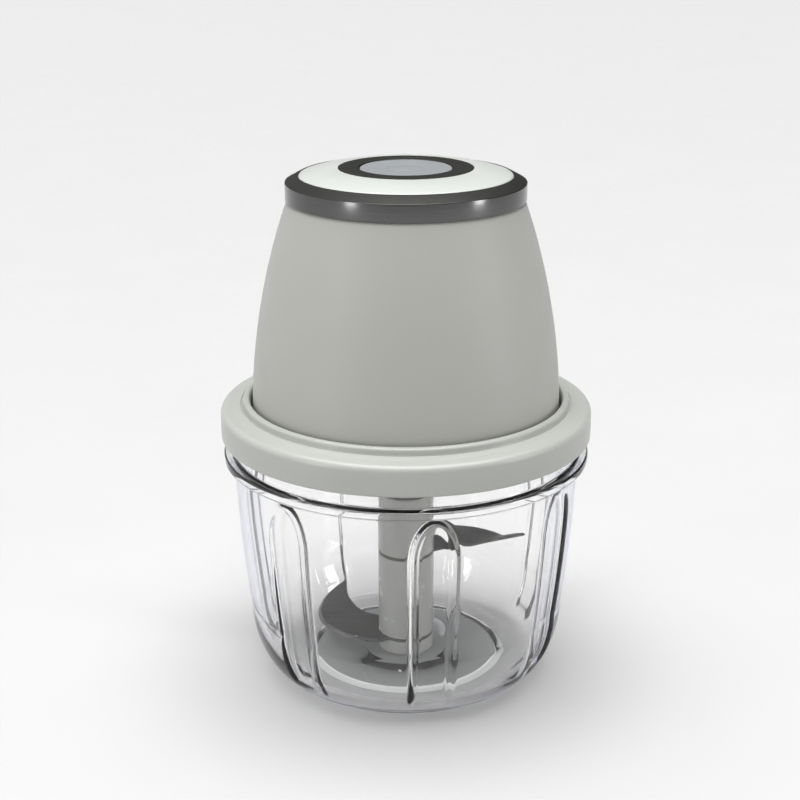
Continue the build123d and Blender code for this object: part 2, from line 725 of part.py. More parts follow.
def motor_can():
    can = ring(MOTOR_RADIUS - MOTOR_WALL, MOTOR_RADIUS, MOTOR_BOTTOM, MOTOR_TOP)
    can += ring(BEARING_RADIUS, MOTOR_RADIUS, MOTOR_BOTTOM, MOTOR_BOTTOM + MOTOR_WALL)
    for x, y in around(MOTOR_SCREW_CIRCLE, (0, 180)):
        can -= rod(MOTOR_SCREW_RADIUS, MOTOR_BOTTOM, MOTOR_BOTTOM + MOTOR_WALL, x, y)
    return can


def motor_bearing():
    bore = MOTOR_SHAFT_RADIUS + RUNNING_CLEARANCE
    return ring(bore, BEARING_RADIUS, MOTOR_BOTTOM - 0.8, MOTOR_BOTTOM + 2 * MOTOR_WALL)


def motor_magnets():
    bore = ARMATURE_RADIUS + 0.4
    whole = ring(bore, MOTOR_RADIUS - MOTOR_WALL, MOTOR_BOTTOM + CLAMP_HEIGHT, MOTOR_TOP - CLAMP_HEIGHT)
    return apart(
        [
            whole & block(MAGNET_WIDTH, OUTER_LIMIT, MOTOR_BOTTOM, MOTOR_TOP, side * MAGNET_OFFSET)
            for side in (-1, 1)
        ]
    )


def motor_end_cap():
    rim = MOTOR_TOP + END_CAP_THICKNESS
    cap = rod(MOTOR_RADIUS, MOTOR_TOP, rim) + rod(END_CAP_BOSS_RADIUS, rim, rim + 2)
    return cap - rod(MOTOR_SHAFT_RADIUS + RUNNING_CLEARANCE, MOTOR_TOP, MOTOR_TOP + 3)


def armature():
    """Laminated rotor with three poles, and the commutator above it."""
    low = MOTOR_BOTTOM + ARMATURE_INSET
    high = MOTOR_TOP - ARMATURE_INSET
    stack = rod(ARMATURE_RADIUS, low, high)
    for x, y in around(ARMATURE_RADIUS - 2.2, POLE_ANGLES):
        stack -= rod(SLOT_RADIUS, low, high, x, y)
    return stack + rod(COMMUTATOR_RADIUS, high, MOTOR_TOP - 1) - rod(MOTOR_SHAFT_RADIUS, low, MOTOR_TOP)


def motor_shaft():
    return rod(MOTOR_SHAFT_RADIUS, DRIVE_TOP - SHAFT_OVERLAP, MOTOR_TOP + 2.6)


def drive_shaft():
    shaft = rod(DRIVE_RADIUS, DRIVE_STEP, DRIVE_TOP)
    shaft += rod(DRIVE_RADIUS - DRIVE_STEP_DEPTH, DOG_TOP, DRIVE_STEP)
    shaft += hexagon(DOG_CORNER_RADIUS, DOG_BOTTOM, DOG_TOP)
    return shaft - rod(MOTOR_SHAFT_RADIUS, DRIVE_TOP - SHAFT_OVERLAP, DRIVE_TOP)


def shaft_bushing():
    return ring(DRIVE_RADIUS + RUNNING_CLEARANCE, SLEEVE_BORE, HEAD_BOTTOM + SEAL_THICKNESS, SLEEVE_TOP)


def shaft_seal():
    return ring(DRIVE_RADIUS + RUNNING_CLEARANCE, SLEEVE_BORE, HEAD_BOTTOM, HEAD_BOTTOM + SEAL_THICKNESS)


NODES = {
    "bowl": bowl,
    "foot_pad": foot_pad,
    "bowl_pin": bowl_pin,
    "hub_foot": hub_foot,
    "hub_spacer": hub_spacer,
    "hub_top": hub_top,
    "hub_core": hub_core,
    "hub_bushing": hub_bushing,
    "lower_blade": lower_blade,
    "upper_blade": upper_blade,
    "lid_collar": lid_collar,
    "lid_plate": lid_plate,
    "lid_seal": lid_seal,
    "motor_housing": motor_housing,
    "head_base": head_base,
    "base_screws": base_screws,
    "trim_ring": trim_ring,
    "top_cap": top_cap,
    "button_bezel": button_bezel,
    "power_button": power_button,
    "button_spring": button_spring,
    "switch_plunger": switch_plunger,
    "control_board": control_board,
    "board_screws": board_screws,
    "board_components": board_components,
    "tact_switch": tact_switch,
    "battery_cell_left": lambda: battery_cell(-1),
    "battery_cell_right": lambda: battery_cell(1),
    "battery_cradle": battery_cradle,
    "charge_board": charge_board,
    "charge_socket": charge_socket,
    "port_flap": port_flap,
    "motor_mount": motor_mount,
    "motor_screws": motor_screws,
    "motor_can": motor_can,
    "motor_bearing": motor_bearing,
    "motor_magnets": motor_magnets,
    "motor_end_cap": motor_end_cap,
    "armature": armature,
    "motor_shaft": motor_shaft,
    "drive_shaft": drive_shaft,
    "shaft_bushing": shaft_bushing,
    "shaft_seal": shaft_seal,
}

os.makedirs("parts", exist_ok=True)
for name, make in NODES.items():
    export_step(make(), f"parts/{name}.step")
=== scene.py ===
import json
import math

import bmesh
import bpy
import numpy as np
from mathutils import Matrix, Vector


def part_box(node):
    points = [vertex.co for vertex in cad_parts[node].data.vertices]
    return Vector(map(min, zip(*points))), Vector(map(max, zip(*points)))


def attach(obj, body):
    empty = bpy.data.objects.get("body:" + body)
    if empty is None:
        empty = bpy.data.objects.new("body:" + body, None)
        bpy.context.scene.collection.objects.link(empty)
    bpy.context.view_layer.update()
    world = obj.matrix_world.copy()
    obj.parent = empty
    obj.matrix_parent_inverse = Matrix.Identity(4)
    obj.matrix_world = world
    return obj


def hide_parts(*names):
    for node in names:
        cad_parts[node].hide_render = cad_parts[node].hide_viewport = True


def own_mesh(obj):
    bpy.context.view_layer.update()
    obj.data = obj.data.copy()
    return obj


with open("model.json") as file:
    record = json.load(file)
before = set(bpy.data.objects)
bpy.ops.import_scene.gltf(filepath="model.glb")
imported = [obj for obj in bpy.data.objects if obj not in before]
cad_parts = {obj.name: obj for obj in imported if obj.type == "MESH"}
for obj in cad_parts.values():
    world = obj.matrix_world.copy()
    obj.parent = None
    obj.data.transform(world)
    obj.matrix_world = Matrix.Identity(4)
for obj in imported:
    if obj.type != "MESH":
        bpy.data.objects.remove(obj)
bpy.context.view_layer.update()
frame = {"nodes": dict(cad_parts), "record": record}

MM = 0.001


# ---- sizes read from the frame, in millimetres ----
def node_radius(node):
    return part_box(node)[1].x / MM


def node_low(node):
    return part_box(node)[0].z / MM


def node_high(node):
    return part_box(node)[1].z / MM


LID_RADIUS = node_radius("lid_collar")
LID_BOTTOM = node_low("lid_collar")
BEAD_TOP = node_high("lid_collar")
SEAT_RADIUS = node_radius("lid_plate")
SHROUD_BOTTOM = node_low("lid_plate")
PLATE_TOP = node_high("lid_plate")
FLANGE_RADIUS = node_radius("bowl")
BOWL_FOOT = node_low("bowl")
RIM_HEIGHT = node_high("bowl")
HEAD_RADIUS = node_radius("motor_housing")
HEAD_BOTTOM = node_low("motor_housing")
HEAD_TOP = node_high("motor_housing")
TRIM_RADIUS = node_radius("trim_ring")
TRIM_BOTTOM = node_low("trim_ring")
TRIM_TOP = node_high("trim_ring")
CAP_RADIUS = node_radius("top_cap")
CAP_CROWN = node_high("top_cap")
BEZEL_RADIUS = node_radius("button_bezel")
BEZEL_BOTTOM = node_low("button_bezel")
BEZEL_TOP = node_high("button_bezel")
STEM_BOTTOM = node_low("power_button")
BUTTON_CROWN = node_high("power_button")
HUB_RADIUS = node_radius("hub_foot")
PAD_RADIUS = node_radius("foot_pad")


# ---- camera, light and floor ----
CAMERA_PLACE = (0.0, -0.3682, 0.1985)
CAMERA_PITCH = 18.8             # degrees below the horizon
CAMERA_LENS = 67.9
CAMERA_SHIFT = -0.0075
SOFTBOX_SIZE = (0.14, 0.4)
SOFTBOX_AIM = (0, 0, 0.10)
SOFTBOXES = {
    "left_softbox": ((-0.62, -0.50, 0.22), 1.2),
    "right_softbox": ((0.75, -0.27, 0.22), 1.6),
}
OVERHEAD = ("Z", 0.76, 0.97, 0.05, 8.2)      # direction, where it starts, where it is full, dim and bright
LEFT_SIDE = ("X", 0.1, -1.0, 0.0, 0.75)


def make_camera():
    camera = bpy.data.objects.new("camera", bpy.data.cameras.new("camera"))
    camera.data.sensor_width = 36.0
    camera.data.lens = CAMERA_LENS
    camera.data.shift_x = CAMERA_SHIFT
    camera.data.clip_start = 0.01
    camera.location = CAMERA_PLACE
    camera.rotation_euler = (math.radians(90 - CAMERA_PITCH), 0, 0)
    bpy.context.scene.collection.objects.link(camera)
    bpy.context.scene.camera = camera


def softbox(name, place, power):
    """A narrow upright light panel that faces the object."""
    light = bpy.data.lights.new(name, "AREA")
    light.shape = "RECTANGLE"
    light.size, light.size_y = SOFTBOX_SIZE
    light.energy = power
    lamp = bpy.data.objects.new(name, light)
    lamp.location = place
    lamp.rotation_euler = (Vector(SOFTBOX_AIM) - Vector(place)).to_track_quat("-Z", "Y").to_euler()
    bpy.context.scene.collection.objects.link(lamp)


def make_world():
    """A large light overhead and a dim horizon that is brighter on the left, like a small studio."""
    world = bpy.data.worlds.new("studio")
    world.use_nodes = True
    nodes, links = world.node_tree.nodes, world.node_tree.links
    nodes.clear()
    where = nodes.new("ShaderNodeTexCoord")
    split = nodes.new("ShaderNodeSeparateXYZ")
    both = nodes.new("ShaderNodeMath")
    both.operation = "ADD"
    studio = nodes.new("ShaderNodeBackground")
    out = nodes.new("ShaderNodeOutputWorld")
    links.new(where.outputs["Generated"], split.inputs[0])
    for number, (axis, start, full, dim, bright) in enumerate((OVERHEAD, LEFT_SIDE)):
        glow = nodes.new("ShaderNodeMapRange")
        glow.interpolation_type = "SMOOTHSTEP"
        glow.inputs["From Min"].default_value = start
        glow.inputs["From Max"].default_value = full
        glow.inputs["To Min"].default_value = dim
        glow.inputs["To Max"].default_value = bright
        links.new(split.outputs[axis], glow.inputs["Value"])
        links.new(glow.outputs["Result"], both.inputs[number])
    links.new(both.outputs[0], studio.inputs["Strength"])
    links.new(studio.outputs[0], out.inputs["Surface"])
    bpy.context.scene.world = world


# ---- materials ----
class Look:
    """A node material with one Principled shader, and short ways to add what varies over its surface."""

    def __init__(self, name, color, roughness, metallic=0.0, specular=0.5):
        self.material = bpy.data.materials.new(name)
        self.material.use_nodes = True
        self.tree = self.material.node_tree
        self.shader = self.tree.nodes["Principled BSDF"]
        self.color = color
        self.set("Base Color", (*color, 1))
        self.set("Roughness", roughness)
        self.set("Metallic", metallic)
        self.set("Specular IOR Level", specular)

    def set(self, socket, value):
        self.shader.inputs[socket].default_value = value

    def node(self, kind, **values):
        made = self.tree.nodes.new(kind)
        for key, value in values.items():
            setattr(made, key, value)
        return made

    def link(self, source, target):
        self.tree.links.new(source, target)

    def place(self, stretch=(1, 1, 1)):
        """Object coordinates, in metres, scaled along each axis."""
        where = self.node("ShaderNodeTexCoord")
        scale = self.node("ShaderNodeMapping")
        scale.inputs["Scale"].default_value = stretch
        self.link(where.outputs["Object"], scale.inputs["Vector"])
        return scale.outputs["Vector"]

    def around_axis(self, turns, radial, height):
        """Coordinates that run round the centre line: angle, radius and height, each with its own scale."""
        where = self.node("ShaderNodeTexCoord")
        split = self.node("ShaderNodeSeparateXYZ")
        angle = self.node("ShaderNodeMath", operation="ARCTAN2")
        reach = self.node("ShaderNodeVectorMath", operation="LENGTH")
        flat = self.node("ShaderNodeCombineXYZ")
        joined = self.node("ShaderNodeCombineXYZ")
        scale = self.node("ShaderNodeMapping")
        scale.inputs["Scale"].default_value = (turns, radial, height)
        self.link(where.outputs["Object"], split.inputs[0])
        self.link(split.outputs["Y"], angle.inputs[0])
        self.link(split.outputs["X"], angle.inputs[1])
        self.link(split.outputs["X"], flat.inputs["X"])
        self.link(split.outputs["Y"], flat.inputs["Y"])
        self.link(flat.outputs[0], reach.inputs[0])
        self.link(angle.outputs[0], joined.inputs["X"])
        self.link(reach.outputs["Value"], joined.inputs["Y"])
        self.link(split.outputs["Z"], joined.inputs["Z"])
        self.link(joined.outputs[0], scale.inputs["Vector"])
        return scale.outputs["Vector"]

    def noise(self, vector, scale, detail=3.0):
        made = self.node("ShaderNodeTexNoise")
        made.inputs["Scale"].default_value = scale
        made.inputs["Detail"].default_value = detail
        self.link(vector, made.inputs["Vector"])
        return made.outputs["Fac"]

    def between(self, value, low, high, from_low=0.3, from_high=0.7):
        made = self.node("ShaderNodeMapRange")
        made.inputs["From Min"].default_value = from_low
        made.inputs["From Max"].default_value = from_high
        made.inputs["To Min"].default_value = low
        made.inputs["To Max"].default_value = high
        self.link(value, made.inputs["Value"])
        return made.outputs["Result"]

    def tint(self, value, other, share=1.0):
        """Mixes the colour towards another one where value is high."""
        mix = self.node("ShaderNodeMix", data_type="RGBA")
        mix.inputs["A"].default_value = (*self.color, 1)
        mix.inputs["B"].default_value = (*other, 1)
        self.link(self.between(value, 0.0, share), mix.inputs["Factor"])
        self.link(mix.outputs["Result"], self.shader.inputs["Base Color"])

    def vary_roughness(self, value, low, high):
        self.link(self.between(value, low, high), self.shader.inputs["Roughness"])

    def bump(self, value, height):
        made = self.node("ShaderNodeBump")
        made.inputs["Distance"].default_value = height * MM
        self.link(value, made.inputs["Height"])
        self.link(made.outputs["Normal"], self.shader.inputs["Normal"])


def moulded(name, color, roughness, grain=0.012, specular=0.5, shift=0.94):
    """Moulded plastic: a fine spark-eroded grain, a slow change of colour and a slightly uneven gloss."""
    look = Look(name, color, roughness, specular=specular)
    where = look.place()
    slow = look.noise(where, 18.0, 2.0)
    fine = look.noise(where, 2600.0, 2.0)
    look.tint(slow, tuple(c * shift for c in color))
    look.vary_roughness(look.noise(where, 140.0), roughness * 0.9, min(1.0, roughness * 1.12))
    look.bump(fine, grain)
    return look.material


def brushed(name, color, roughness, stretch=None):
    """Metal with fine lines: round the centre line, or along the axis that stretch makes long."""
    look = Look(name, color, roughness, metallic=1.0)
    lines = look.around_axis(2.0, 9000.0, 9000.0) if stretch is None else look.place(stretch)
    value = look.noise(lines, 1.0, 4.0)
    look.tint(value, tuple(c * 0.8 for c in color))
    look.vary_roughness(value, roughness * 0.8, roughness * 1.25)
    look.bump(value, 0.004)
    return look.material


def clear_plastic():
    """Clear plastic, tinted towards violet grey where it is seen edge on."""
    look = Look("clear_bowl", (1, 1, 1), 0.012)
    look.set("IOR", 1.49)
    look.set("Transmission Weight", 1.0)
    look.bump(look.noise(look.place(), 60.0, 2.0), 0.01)
    edge_on = look.node("ShaderNodeLayerWeight")
    edge_on.inputs["Blend"].default_value = 0.35
    tint = look.node("ShaderNodeMix", data_type="RGBA")
    tint.inputs["A"].default_value = (0.985, 0.985, 0.985, 1)
    tint.inputs["B"].default_value = (0.30, 0.37, 0.78, 1)
    look.link(look.between(edge_on.outputs["Facing"], 0.0, 1.0, 0.45, 1.0), tint.inputs["Factor"])
    look.link(tint.outputs["Result"], look.shader.inputs["Base Color"])
    lets_through = look.node("ShaderNodeBsdfTransparent")
    rays = look.node("ShaderNodeLightPath")
    choice = look.node("ShaderNodeMixShader")
    out = look.tree.nodes["Material Output"]
    look.link(rays.outputs["Is Shadow Ray"], choice.inputs["Fac"])
    look.link(look.shader.outputs[0], choice.inputs[1])
    look.link(lets_through.outputs[0], choice.inputs[2])
    look.link(choice.outputs[0], out.inputs["Surface"])
    return look.material


def make_materials():
    return {
        "clear_bowl": clear_plastic(),
        "white_plastic": moulded("white_plastic", (0.40, 0.41, 0.385), 0.34, 0.02),
        "cap_plastic": moulded("cap_plastic", (0.53, 0.55, 0.525), 0.32, 0.006),
        "frosted_housing": moulded("frosted_housing", (0.385, 0.39, 0.362), 0.5, 0.02),
        "dark_trim": brushed("dark_trim", (0.13, 0.13, 0.13), 0.18),
        "charcoal_satin": moulded("charcoal_satin", (0.019, 0.020, 0.017), 0.5, 0.004, 0.2),
        "dark_plastic": moulded("dark_plastic", (0.02, 0.02, 0.022), 0.4),
        "button_plastic": moulded("button_plastic", (0.275, 0.29, 0.30), 0.35, 0.006, 0.4),
        "hub_plastic": moulded("hub_plastic", (0.275, 0.28, 0.262), 0.25, 0.006),
        "grey_plastic": moulded("grey_plastic", (0.275, 0.28, 0.262), 0.3),
        "blade_steel": brushed("blade_steel", (0.070, 0.069, 0.064), 0.45, (60, 2500, 2500)),
        "edge_steel": brushed("edge_steel", (0.20, 0.20, 0.195), 0.3, (900, 900, 900)),
        "polished_steel": brushed("polished_steel", (0.66, 0.66, 0.65), 0.22),
        "brass": brushed("brass", (0.62, 0.44, 0.18), 0.3),
        "grey_silicone": moulded("grey_silicone", (0.42, 0.43, 0.42), 0.7, 0.02, 0.3),
        # white_silicone also paints the highlight ring round the foot pad and on the bowl's pad recess wall
        "white_silicone": moulded("white_silicone", (0.86, 0.87, 0.86), 0.6, 0.01, 0.3),
        "flap_rubber": moulded("flap_rubber", (0.50, 0.515, 0.48), 0.65, 0.02, 0.3),
        "board_green": moulded("board_green", (0.02, 0.16, 0.06), 0.35),
        "cell_wrap": moulded("cell_wrap", (0.03, 0.14, 0.42), 0.3),
        "magnet": moulded("magnet", (0.03, 0.03, 0.032), 0.6),
        "lamination_steel": brushed("lamination_steel", (0.32, 0.32, 0.33), 0.4, (20, 20, 4000)),
        "floor": moulded("floor", (0.50, 0.50, 0.50), 0.6, 0.0, 0.1, 0.985),
    }


# ---- mesh helpers ----
def rounded(corners, step=0.25):
    """Turns (x, y, fillet radius) corners of a closed outline into points, with arcs at the corners."""
    points = []
    count = len(corners)
    for i, (x, y, radius) in enumerate(corners):
        here = Vector((x, y))
        before = Vector(corners[i - 1][:2]) - here
        after = Vector(corners[(i + 1) % count][:2]) - here
        if radius <= 0 or before.length < 1e-6 or after.length < 1e-6:
            points.append((x, y))
            continue
        half = before.angle(after) / 2
        cut = min(radius / math.tan(half), before.length * 0.49, after.length * 0.49)
        if cut < 1e-4:
            points.append((x, y))
            continue
        radius = cut * math.tan(half)
        start = here + before.normalized() * cut
        end = here + after.normalized() * cut
        centre = here + (before.normalized() + after.normalized()).normalized() * (radius / math.sin(half))
        sweep = math.pi - 2 * half
        steps = max(2, math.ceil(radius * sweep / step))
        turn = (start - centre).angle_signed(end - centre)
        for k in range(steps + 1):
            arm = start - centre
            arm.rotate(Matrix.Rotation(-turn * k / steps, 2))
            points.append(tuple(centre + arm))
    return points


def arc_points(start, middle, end, count):
    """Points on the circle through three points."""
    ax, ay = start
    bx, by = middle
    cx, cy = end
    d = 2 * (ax * (by - cy) + bx * (cy - ay) + cx * (ay - by))
    ux = ((ax**2 + ay**2) * (by - cy) + (bx**2 + by**2) * (cy - ay) + (cx**2 + cy**2) * (ay - by)) / d
    uy = ((ax**2 + ay**2) * (cx - bx) + (bx**2 + by**2) * (ax - cx) + (cx**2 + cy**2) * (bx - ax)) / d
    radius = math.hypot(ax - ux, ay - uy)
    first = math.atan2(ay - uy, ax - ux)
    last = math.atan2(cy - uy, cx - ux)
    if last - first > math.pi:
        last -= 2 * math.pi
    if first - last > math.pi:
        last += 2 * math.pi
    angles = np.linspace(first, last, count)
    return [(ux + radius * math.cos(a), uy + radius * math.sin(a)) for a in angles]


def new_piece(name, bm, materials, sharp=35.0):
    mesh = bpy.data.meshes.new(name)
    bm.normal_update()
    bm.to_mesh(mesh)
    bm.free()
    for material in materials:
        mesh.materials.append(material)
    mesh.shade_smooth()
    mesh.set_sharp_from_angle(angle=math.radians(sharp))
    piece = bpy.data.objects.new(name, mesh)
    bpy.context.scene.collection.objects.link(piece)
    return piece


def ring_mesh(bm, loops, closed):
    """Faces between loops of vertices; the last loop meets the first one if closed."""
    pairs = list(zip(loops, loops[1:]))
    if closed:
        pairs.append((loops[-1], loops[0]))
    for low, high in pairs:
        count = max(len(low), len(high))
        for i in range(count):
            j = (i + 1) % count
            if len(low) == 1:
                bm.faces.new((low[0], high[j], high[i]))
            elif len(high) == 1:
                bm.faces.new((low[i], low[j], high[0]))
            else:
                bm.faces.new((low[i], low[j], high[j], high[i]))


def lathe(name, profile, materials, segments=192, zone=None, sharp=35.0):
    """A closed solid of revolution from (radius, height) points in millimetres, going up the outside."""
    bm = bmesh.new()
    angles = [2 * math.pi * i / segments for i in range(segments)]
    loops = []
    for radius, height in profile:
        places = [(radius * math.sin(a), -radius * math.cos(a)) for a in angles]
        if radius < 1e-4:
            places = [(0, 0)]
        loops.append([bm.verts.new((x * MM, y * MM, height * MM)) for x, y in places])
    ends_on_axis = len(loops[0]) == 1 and len(loops[-1]) == 1
    ring_mesh(bm, loops, closed=not ends_on_axis)
    if zone:
        for face in bm.faces:
            centre = face.calc_center_median() / MM
            face.material_index = zone(math.hypot(centre.x, centre.y), centre.z)
    bmesh.ops.recalc_face_normals(bm, faces=bm.faces[:])
    return new_piece(name, bm, materials, sharp)


def stand_for(piece, node, body):
    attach(piece, body)
    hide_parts(node)
    return piece


# ---- the bowl ----
FOOT_RADIUS = 30.3
CORNER_HEIGHT = 19.4
CORNER_RADIUS = 41.4
NECK_RADIUS = 44.5
SHOULDER_HEIGHT = 60.3
FLANGE_THICKNESS = 2.2
BOWL_WALL = 2.2
WALL_BULGE = 0.56
FLOOR_HEIGHT = 3.3
BOSS_RADIUS = 10.9
BOSS_HEIGHT = 3.6
FLUTE_COUNT = 7
FLUTE_FIRST = 9.2               # degrees from the front towards the right
FLUTE_DEPTH = 1.15
FLUTE_OUTER = (7.3, 57.2)       # half width in degrees and top height where the bevel starts
FLUTE_INNER = (4.6, 54.6)       # the same where the flat panel starts
RIDGE_OUTER = (9.0, 58.4)       # the same for the ridge on the inside
RIDGE_INNER = (6.4, 56.0)
FLUTE_SPRING_LINE = 46.0
BOWL_SEGMENTS = 540
CORNER_STEPS = 24
PAD_RECESS_TOP = 1.6
PAD_RIM_WIDTH = 2.5             # the pad's rim reaches this far out under the bowl's clear foot; its white colour is a painted highlight ring
PAD_RIM_THICKNESS = 0.26


def wall_radius(height, inset=0.0):
    """Radius of the bowl's wall at a height, moved in by inset, without its flutes."""
    if height < CORNER_HEIGHT:
        drop = (CORNER_HEIGHT - height) / (CORNER_HEIGHT - BOWL_FOOT - inset)
        return FOOT_RADIUS - inset + (CORNER_RADIUS - FOOT_RADIUS) * math.sqrt(max(0.0, 1 - drop * drop))
    if height > SHOULDER_HEIGHT:
        return NECK_RADIUS - inset
    share = (height - CORNER_HEIGHT) / (SHOULDER_HEIGHT - CORNER_HEIGHT)
    bulge = WALL_BULGE * 4 * share * (1 - share)
    return CORNER_RADIUS - inset + (NECK_RADIUS - CORNER_RADIUS) * share + bulge


def smooth(share):
    share = np.clip(share, 0.0, 1.0)
    return share * share * (3 - 2 * share)


def flute_depth(angle, height, edge, panel):
    """How deep the wall is pressed in, for an array of angles in degrees at one height."""
    pitch = 360.0 / FLUTE_COUNT
    offset = np.abs((angle - FLUTE_FIRST + pitch / 2) % pitch - pitch / 2)
    rise = max(0.0, height - FLUTE_SPRING_LINE)
    low = np.zeros_like(offset)
    high = np.ones_like(offset)
    for _ in range(24):
        middle = (low + high) / 2
        half_width = edge[0] + (panel[0] - edge[0]) * middle
        top = edge[1] + (panel[1] - edge[1]) * middle - FLUTE_SPRING_LINE
        inside = (offset / half_width) ** 2 + (rise / top) ** 2 < 1
        low = np.where(inside, middle, low)
        high = np.where(inside, high, middle)
    foot = float(smooth((height - 4.5) / 3.5))
    return FLUTE_DEPTH * smooth(low) * foot


def bowl_profile():
    """Outside from the pad recess up to the rim, then down the inside to the middle of the floor."""
    recess = PAD_RADIUS + 0.1
    outside = [(0, PAD_RECESS_TOP), (recess, PAD_RECESS_TOP), (recess, BOWL_FOOT + 0.2)]
    outside += [(recess + 0.2, BOWL_FOOT), (FOOT_RADIUS - 2, BOWL_FOOT)]
    for k in range(1, CORNER_STEPS + 1):
        turn = math.pi / 2 * k / CORNER_STEPS
        height = CORNER_HEIGHT - (CORNER_HEIGHT - BOWL_FOOT) * math.cos(turn)
        outside.append((wall_radius(height), height))
    flange_low = SHOULDER_HEIGHT - FLANGE_THICKNESS / 2
    flange_high = SHOULDER_HEIGHT + FLANGE_THICKNESS / 2
    for height in np.linspace(CORNER_HEIGHT, flange_low - 0.6, 64)[1:]:
        outside.append((wall_radius(height), float(height)))
    edge = [
        (wall_radius(flange_low), flange_low, 0.4),
        (FLANGE_RADIUS, flange_low, 0.5),
        (FLANGE_RADIUS, flange_high, 0.5),
        (NECK_RADIUS, flange_high, 0.5),
        (NECK_RADIUS, RIM_HEIGHT, 0.5),
        (NECK_RADIUS - BOWL_WALL, RIM_HEIGHT, 0.5),
        (NECK_RADIUS - BOWL_WALL, SHOULDER_HEIGHT, 0),
        (wall_radius(flange_low - 2), flange_low - 2, 0),
    ]
    outside += rounded(edge, 0.15)[1:-2]
    inside = []
    for height in np.linspace(SHOULDER_HEIGHT, CORNER_HEIGHT, 72):
        inside.append((wall_radius(height, BOWL_WALL), float(height)))
    for k in range(1, CORNER_STEPS):
        turn = math.pi / 2 * (1 - k / CORNER_STEPS)
        height = CORNER_HEIGHT - (CORNER_HEIGHT - BOWL_FOOT - BOWL_WALL) * math.cos(turn)
        if height > FLOOR_HEIGHT + 0.4:
            inside.append((wall_radius(height, BOWL_WALL), height))
    last = wall_radius(FLOOR_HEIGHT, BOWL_WALL)
    inside += [(last - 0.8, FLOOR_HEIGHT + 0.1), (last - 2.5, FLOOR_HEIGHT)]
    inside += [(BOSS_RADIUS + 0.3, FLOOR_HEIGHT), (BOSS_RADIUS, BOSS_HEIGHT - 0.05)]
    inside += [(BOSS_RADIUS - 0.3, BOSS_HEIGHT), (0, BOSS_HEIGHT)]
    return outside, inside


def make_bowl(look):
    bm = bmesh.new()
    outside, inside = bowl_profile()
    angles = np.arange(BOWL_SEGMENTS) * 360.0 / BOWL_SEGMENTS
    turns = np.radians(angles)
    loops = []
    for number, (radius, height) in enumerate(outside + inside):
        if radius < 1e-4:
            loops.append([bm.verts.new((0, 0, height * MM))])
            continue
        shape = (FLUTE_OUTER, FLUTE_INNER) if number < len(outside) else (RIDGE_OUTER, RIDGE_INNER)
        is_wall = 2 < height < shape[0][1] and radius > FOOT_RADIUS
        radii = radius - (flute_depth(angles, height, *shape) if is_wall else 0 * angles)
        loops.append(
            [
                bm.verts.new((r * MM * math.sin(a), -r * MM * math.cos(a), height * MM))
                for r, a in zip(radii, turns)
            ]
        )
    ring_mesh(bm, loops, closed=False)
    # faces on the wall of the pad recess get the white material, a painted highlight that is part of the
    # bright ring round the foot pad
    for face in bm.faces:
        centre = face.calc_center_median() / MM
        on_recess_wall = math.hypot(centre.x, centre.y) < PAD_RADIUS + 0.2 and BOWL_FOOT < centre.z < 1.55
        face.material_index = 1 if on_recess_wall else 0
    bmesh.ops.recalc_face_normals(bm, faces=bm.faces[:])
    piece = new_piece("clear_bowl", bm, [look["clear_bowl"], look["white_silicone"]], 50)
    return stand_for(piece, "bowl", "bowl")


def make_foot_pad(look):
    """A soft grey disc in its recess, with a thin rim painted white as a highlight ring that shows through
    the clear foot around it.
    """
    rim = PAD_RADIUS + PAD_RIM_WIDTH
    top = PAD_RIM_THICKNESS
    profile = [(0, 0), (rim - 0.1, 0), (rim, 0.08), (rim, top - 0.06), (rim - 0.06, top), (PAD_RADIUS, top)]
    profile += [(PAD_RADIUS, 1.4), (PAD_RADIUS - 0.15, 1.55), (0, 1.55)]
    # the rim's white material is a painted highlight: the bright ring reflected at the bowl's base corner
    piece = lathe(
        "soft_foot_pad",
        profile,
        [look["grey_silicone"], look["white_silicone"]],
        zone=lambda radius, height: 1 if radius > PAD_RADIUS and height < top + 0.01 else 0,
    )
    return stand_for(piece, "foot_pad", "bowl")


# ---- blade rotor ----
BLADE_THICKNESS = 0.8
BLADE_TIP = (-17.4, 27.6)
BEND_POINT = (-12.7, 11.0)
BEND_DIRECTION = 72.0
BLADE_TURN = -132.0
LOWER_BEND = 6.3
UPPER_BEND = 25.5
BLADE_BORE = 5.2
GROUND_WIDTH = 0.9              # width of the ground bevel along the outer cutting edge
BLADE_ROWS = 48
BLADE_RING_SEGMENTS = 96
BLADE_OUTER = [
    (-4.0, -6.2), (-8.5, -7.6), (-16.3, -4.4), (-22.6, 2.5), (-24.6, 11.0), (-22.8, 19.6), BLADE_TIP,
]
BLADE_INNER = [(-4.0, 6.2), (-8.5, 7.9), BEND_POINT, (-16.4, 18.4), BLADE_TIP]
SOFT_BEND = 1.6                 # the bend's angle grows over this length


def through(points, count):
    """A smooth curve through the given plan points, sampled evenly, as 2-D vectors."""
    curve = [Vector(p) for p in points]
    ends = [2 * curve[0] - curve[1]] + curve + [2 * curve[-1] - curve[-2]]
    samples = []
    for k in range(count):
        at = k / (count - 1) * (len(points) - 1)
        i = min(int(at), len(points) - 2)
        t = at - i
        a, b, c, d = ends[i : i + 4]
        square = 2 * a - 5 * b + 4 * c - d
        cube = 3 * b - a - 3 * c + d
        samples.append(0.5 * ((2 * b) + (c - a) * t + square * t**2 + cube * t**3))
    return samples


def bent(point, bend):
    """Where a point of the flat blade goes when the part beyond the bend line is turned up."""
    direction = math.radians(BEND_DIRECTION)
    across = Vector((math.cos(direction), math.sin(direction), 0))
    beyond = (point - Vector((*BEND_POINT, 0))).dot(across)
    if beyond <= 0:
        return point
    pivot = point - across * beyond
    pivot.z = 0
    hinge = Vector((-across.y, across.x, 0))
    angle = math.radians(bend) * min(1.0, beyond / SOFT_BEND + 0.5)
    return pivot + Matrix.Rotation(-angle, 3, hinge) @ (point - pivot)


